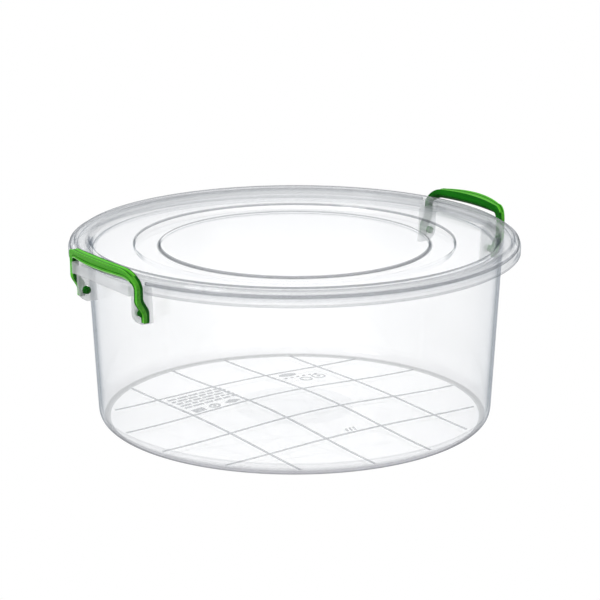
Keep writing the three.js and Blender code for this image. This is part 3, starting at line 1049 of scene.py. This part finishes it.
def latch_pin(name, side):
    """The pin on an arm's inner side; side is 1 for the +Y arm and -1 for the other."""
    # radius, y
    profile = [(0, PIN_END), (PIN_R - 0.5, PIN_END), (PIN_R - 0.15, PIN_END + 0.15),
               (PIN_R, PIN_END + 0.5), (PIN_R, ARM_IN - 0.5), (PIN_R + 0.3, ARM_IN + 0.05),
               (PIN_R + 0.3, ARM_IN + 1.2), (1.4, ARM_IN + 1.6), (0, ARM_IN + 1.6)]
    pin = turned_pivot(name, [(radius, side * y) for radius, y in profile], 40)
    # the pin is painted dark green, as painted shade
    paint(pin, LATCH_MATERIALS, PAINTED_SHADE)
    return pin


def build_latch(name):
    """The +X latch: one section swept up an arm, across the bar and down the other arm."""
    heights = [*np.linspace(ARM_BOTTOM + CAP_DROP, 101.0, 4), *np.linspace(101.8, 115.2, 20),
               *np.linspace(116.6, ARM_STRAIGHT_TOP, 3)]
    half = [arm_section(z) for z in heights] + corner_sections()
    half += [bar_section(y) for y in np.linspace(BAR_STRAIGHT_HALF, 0, 18)]
    other = [[(x, -y, z) for x, y, z in section] for section in reversed(half[:-1])]
    body = [rounded_section(section) for section in half + other]
    rings = end_cap(body[0])[::-1] + body + end_cap(body[-1])

    count, size = len(rings), len(rings[0])
    verts = [tuple(point) for ring in rings for point in ring]
    latch = mesh_object(name, verts, side_faces(count, size) + cap_faces(count, size))
    # the bar's painted shade and highlights begin 6 rows into the corner
    arm_rows = len(CAP_RINGS) + len(heights) + 6
    slots = []
    for i in range(count - 1):
        painted_columns = BAR_COLUMNS if arm_rows <= i < count - 1 - arm_rows else ARM_COLUMNS
        slots += [column_slot(j, painted_columns) for j in range(size)]
    # the two end faces get painted shade
    slots += [PAINTED_SHADE, PAINTED_SHADE]                   # the two end faces
    paint(latch, LATCH_MATERIALS, slots)
    boolean(latch, [latch_pin(name + "_pin", side) for side in (1, -1)], "UNION")
    tidy(latch, LATCH_SHARP_FROM)
    return latch


LATCH_SHARP_FROM = 38                       # degrees

# ---------------------------------------------------------------- pieces
tub = build_tub()
lid = build_lid()
right_latch = build_latch("latch_right_body")
left_latch = mirrored(right_latch, "latch_left_body")
tidy(left_latch, LATCH_SHARP_FROM)

for piece, cad_node, slot in (
        (tub, "tub", "tub_clear"), (lid, "lid", "lid_clear"),
        (right_latch, "right_latch", "latch_green"), (left_latch, "left_latch", "latch_green")):
    add_weighted_normals(piece)
    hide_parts(cad_node)
    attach(piece, cad_node)

# ---------------------------------------------------------------- render settings
scene = bpy.context.scene
scene.view_settings.view_transform = "Standard"
scene.view_settings.look = "None"
scene.view_settings.exposure = 0.0
scene.cycles.max_bounces = 32
scene.cycles.transmission_bounces = 28
scene.cycles.glossy_bounces = 10
scene.cycles.diffuse_bounces = 3
scene.cycles.transparent_max_bounces = 32
scene.cycles.caustics_reflective = True
scene.cycles.caustics_refractive = True
scene.cycles.sample_clamp_indirect = 6.0
scene.cycles.use_denoising = True

# ---------------------------------------------------------------- studio
# Ramps by a ray's direction: (position, colour), 0 directly away from the given direction,
# 1 straight along it.
AHEAD = [                                   # along the camera's line
    (0.0, (0.34, 0.35, 0.37)),
    (0.35, (0.30, 0.32, 0.34)),
    (0.80, (0.24, 0.26, 0.28)),
    (0.95, (0.24, 0.26, 0.28)),
    (0.985, (0.36, 0.38, 0.40)),
    (0.9935, (1.0, 1.0, 1.0)),
    (1.0, (1.0, 1.0, 1.0)),
]
MIRRORED_AHEAD = [                          # along that line mirrored in a level surface
    (0.0, (0.0, 0.0, 0.0)),
    (0.90, (0.0, 0.0, 0.0)),
    (0.955, (0.35, 0.35, 0.36)),
    (0.978, (0.92, 0.92, 0.93)),
    (1.0, (1.0, 1.0, 1.0)),
]
SIDE_LIGHT = [(0.0, grey(0.34)), (0.5, grey(0.52)), (0.7, grey(0.58)), (0.85, grey(0.80)),
              (1.0, grey(1))]
SIDE_LIGHT_FROM = Vector((-0.92, 0.05, 0.34))
WHITE = 1.20                                # what the clear plastic shows behind it
FILL = 1.42                                 # what the green plastic is lit by from all round
FLOOR_RADIUS, FLOOR_SIDES, FLOOR_Z = 4500, 96, -0.6     # studio floor, mm


def direction_ramp(tree, incoming, back, stops, interpolation):
    """Colour by how closely a ray runs against the direction back."""
    dot = vector_maths(tree, "DOT_PRODUCT", incoming, back, output="Value")
    position = map_range(tree, dot, from_min=-1.0, from_max=1.0)
    return colour_ramp(tree, position, stops, interpolation)


def incoming_direction(tree):
    return node(tree, "NewGeometry").outputs["Incoming"]


def camera_light(tree):
    """Bright straight ahead of the camera and where a level surface mirrors that, else dim."""
    incoming = incoming_direction(tree)
    # points back towards the camera, as Incoming does
    back = node(tree, "VectorTransform", {"Vector": (0, 0, -1)}, vector_type="VECTOR",
                convert_from="CAMERA", convert_to="WORLD").outputs["Vector"]
    flipped = vector_maths(tree, "MULTIPLY", back, (1, 1, -1))
    direct = direction_ramp(tree, incoming, back, AHEAD, "EASE")
    mirror = direction_ramp(tree, incoming, flipped, MIRRORED_AHEAD, "EASE")
    return vector_maths(tree, "MAXIMUM", direct, mirror)


def side_light(tree):
    """Soft light for solid colours: strong from -X and above, weak from +X and below."""
    return direction_ramp(tree, incoming_direction(tree), -SIDE_LIGHT_FROM.normalized(),
                          SIDE_LIGHT, "LINEAR")


def build_world():
    """Plain white to the camera, side light for diffuse rays, camera light for the rest."""
    world = bpy.data.worlds.new("studio")
    scene.world = world
    world.use_nodes = True
    tree = world.node_tree
    tree.nodes.clear()
    seen = shader(tree, "Background", {"Color": camera_light(tree), "Strength": WHITE})
    fill = shader(tree, "Background", {"Color": side_light(tree), "Strength": FILL})
    white = shader(tree, "Background", {"Color": (1, 1, 1, 1), "Strength": 1.0})
    path = node(tree, "LightPath").outputs
    lit = mix_shaders(tree, path["Is Diffuse Ray"], seen, fill)
    node(tree, "OutputWorld", {"Surface": mix_shaders(tree, path["Is Camera Ray"], lit, white)})


def floor_material():
    """Pale, with its own light; off the camera's line it dims, so that clear edges read."""
    material, tree = new_material("pale_floor")
    diffuse = shader(tree, "BsdfDiffuse", {"Color": (0.55, 0.55, 0.55, 1)})
    glow = shader(tree, "Emission", {"Color": camera_light(tree), "Strength": WHITE * 0.9})
    seen = shader(tree, "AddShader", {0: diffuse, 1: glow})
    dim = shader(tree, "Emission", {"Color": (0.97, 0.98, 1, 1), "Strength": 0.20})
    white = shader(tree, "Emission", {"Strength": 1.0})
    path = node(tree, "LightPath").outputs
    lit = mix_shaders(tree, path["Is Diffuse Ray"], seen, dim)
    node(tree, "OutputMaterial", {
        "Surface": mix_shaders(tree, path["Is Camera Ray"], lit, white)})
    return material


def build_floor():
    angles = np.linspace(0, 2 * math.pi, FLOOR_SIDES + 1)[:-1]
    verts = [(FLOOR_RADIUS * math.cos(a), FLOOR_RADIUS * math.sin(a), FLOOR_Z) for a in angles]
    floor = mesh_object("studio_floor", verts, [tuple(range(FLOOR_SIDES))])
    floor.data.materials.append(floor_material())


def area_light(name, place, target, side, power):
    """A square white softbox that faces the target and is hidden from the camera."""
    data = bpy.data.lights.new(name, "AREA")
    data.shape = "RECTANGLE"
    data.size = side
    data.size_y = side
    data.energy = power
    data.color = (1, 1, 1)
    light = bpy.data.objects.new(name, data)
    scene.collection.objects.link(light)
    light.location = place
    light.visible_camera = False
    light.rotation_mode = "QUATERNION"
    light.rotation_quaternion = (Vector(target) - Vector(place)).to_track_quat("-Z", "Y")


def build_camera():
    """Looks down at the container from -X and -Y."""
    azimuth, elevation, distance = math.radians(-35.4), math.radians(15.57), 1.51143
    aim = Vector((0.002970, -0.002111, 0.0802))
    back = Vector((math.sin(azimuth) * math.cos(elevation),
                   -math.cos(azimuth) * math.cos(elevation), math.sin(elevation)))
    data = bpy.data.cameras.new("camera")
    data.lens = 131.7
    data.sensor_width = 36.0
    data.clip_start = 0.05
    data.clip_end = 50
    camera = bpy.data.objects.new("camera", data)
    scene.collection.objects.link(camera)
    camera.location = aim + back * distance
    camera.rotation_mode = "QUATERNION"
    camera.rotation_quaternion = (-back).to_track_quat("-Z", "Y")
    scene.camera = camera


build_world()
build_floor()
area_light("key_softbox", place=(-1.3, -0.15, 0.95), target=(-0.1, 0, 0.12), side=0.5, power=5)
area_light("top_softbox", place=(-0.2, 0.2, 1.6), target=(0, 0, 0.08), side=0.9, power=3)
build_camera()

bpy.context.view_layer.update()
